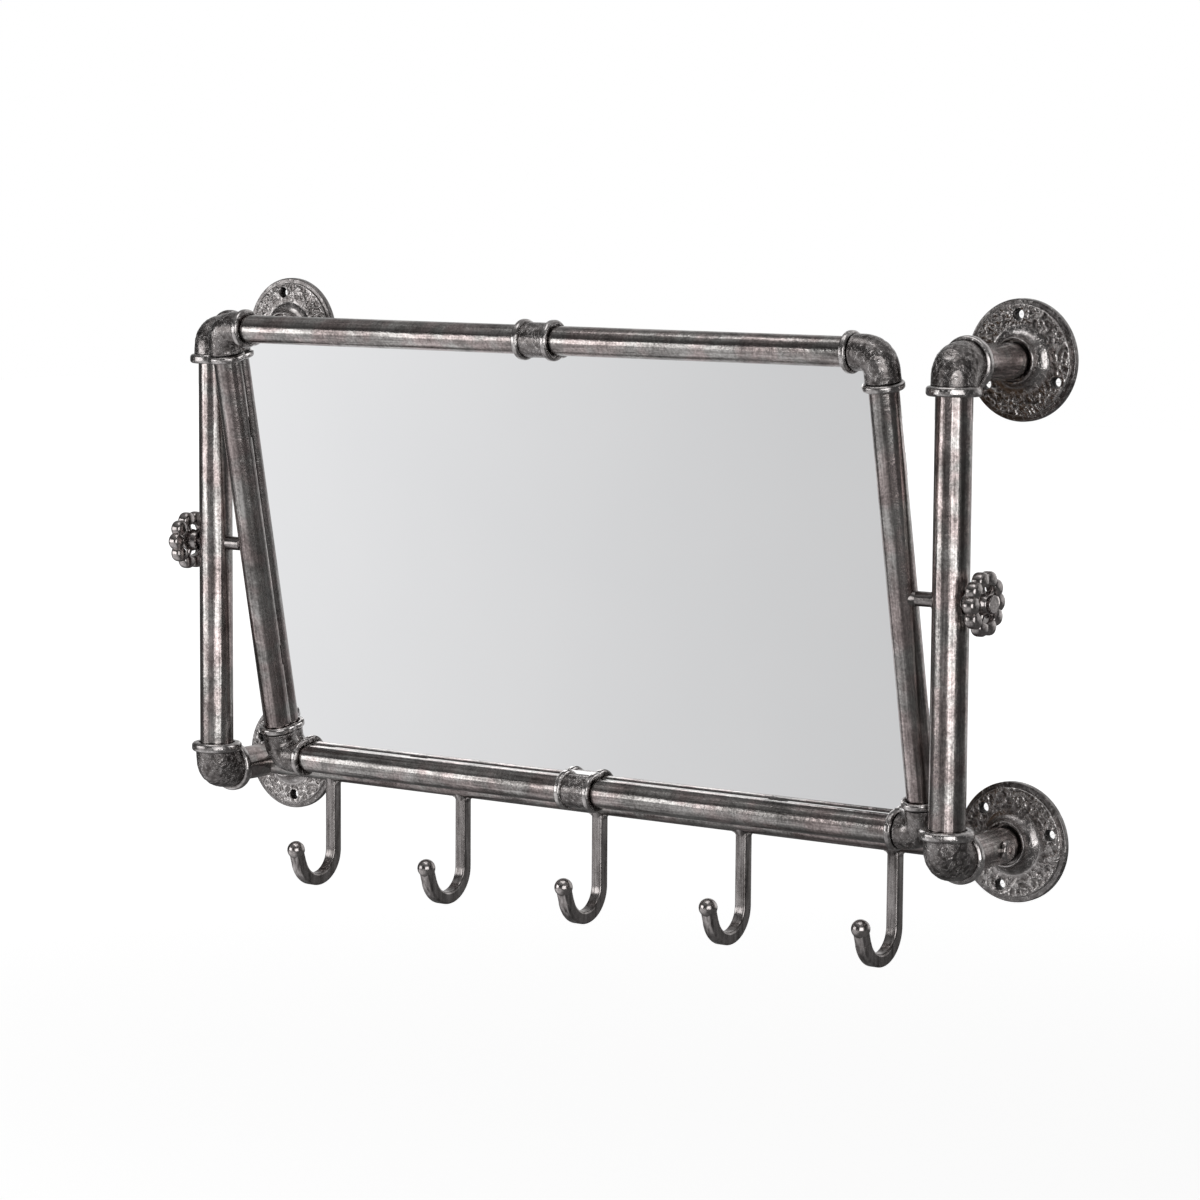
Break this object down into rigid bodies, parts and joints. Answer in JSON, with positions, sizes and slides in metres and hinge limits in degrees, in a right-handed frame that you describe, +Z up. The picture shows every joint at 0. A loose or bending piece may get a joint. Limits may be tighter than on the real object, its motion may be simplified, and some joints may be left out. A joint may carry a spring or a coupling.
{
  "type": "mirror with hooks",
  "caption": "Wall mirror tilting in a frame of dark pipe and elbows on flanged stand-offs, clamped by spoked handwheels, with a rail of forward hooks below.",
  "frame": {"origin": "on the wall, in the middle of the four wall flanges", "axes": "+X to the right as a viewer faces the mirror, +Y into the wall, +Z up"},
  "size_m": [0.75, 0.1443, 0.4735],
  "materials": {
    "pipe_iron": "antique gunmetal plating on steel pipe, rubbed bright along its length",
    "cast_fitting": "antique gunmetal on cast fittings, rough faces and worn bright beads",
    "polished_iron": "dark polished steel",
    "mirror_glass": "silvered float glass",
    "board": "brown hardboard"
  },
  "bodies": {
    "frame": {"flange_upper_left": "cast_fitting", "flange_upper_right": "cast_fitting", "flange_lower_left": "cast_fitting", "flange_lower_right": "cast_fitting", "standoff_upper_left": "pipe_iron", "standoff_upper_right": "pipe_iron", "standoff_lower_left": "pipe_iron", "standoff_lower_right": "pipe_iron", "frame_elbow_upper_left": "cast_fitting", "frame_elbow_upper_right": "cast_fitting", "frame_elbow_lower_left": "cast_fitting", "frame_elbow_lower_right": "cast_fitting", "upright_left": "pipe_iron", "upright_right": "pipe_iron", "pivot_bush_left": "polished_iron", "pivot_bush_right": "polished_iron", "hook_rail": "pipe_iron", "rail_plugs": "polished_iron", "rail_screws": "polished_iron", "hook_1": "pipe_iron", "hook_2": "pipe_iron", "hook_3": "pipe_iron", "hook_4": "pipe_iron", "hook_5": "pipe_iron", "hook_balls": "polished_iron"},
    "mirror": {"mirror_elbow_upper_left": "cast_fitting", "mirror_elbow_upper_right": "cast_fitting", "mirror_elbow_lower_left": "cast_fitting", "mirror_elbow_lower_right": "cast_fitting", "side_pipe_left": "pipe_iron", "side_pipe_right": "pipe_iron", "top_rail_left": "pipe_iron", "top_rail_right": "pipe_iron", "bottom_rail_left": "pipe_iron", "bottom_rail_right": "pipe_iron", "coupling_top": "cast_fitting", "coupling_bottom": "cast_fitting", "mirror_glass": "mirror_glass", "backing_board": "board", "retaining_clips": "polished_iron", "clip_screws": "polished_iron", "pivot_rod_left": "polished_iron", "pivot_rod_right": "polished_iron", "washer_left": "polished_iron", "washer_right": "polished_iron", "end_cap_left": "cast_fitting", "end_cap_right": "cast_fitting"},
    "left_handwheel": {"handwheel_left": "cast_fitting"},
    "right_handwheel": {"handwheel_right": "cast_fitting"}
  },
  "joints": [
    {"name": "mirror_tilt", "type": "hinge", "parent": "frame", "child": "mirror", "pos_m": [0, -0.095, 0.009], "axis": [1, 0, 0], "range_deg": [-37, 0.5]},
    {"name": "left_wheel_turn", "type": "hinge", "parent": "mirror", "child": "left_handwheel", "pos_m": [-0.358, -0.095, 0.009], "axis": [1, 0, 0], "continuous": true},
    {"name": "right_wheel_turn", "type": "hinge", "parent": "mirror", "child": "right_handwheel", "pos_m": [0.358, -0.095, 0.009], "axis": [1, 0, 0], "continuous": true}
  ]
}
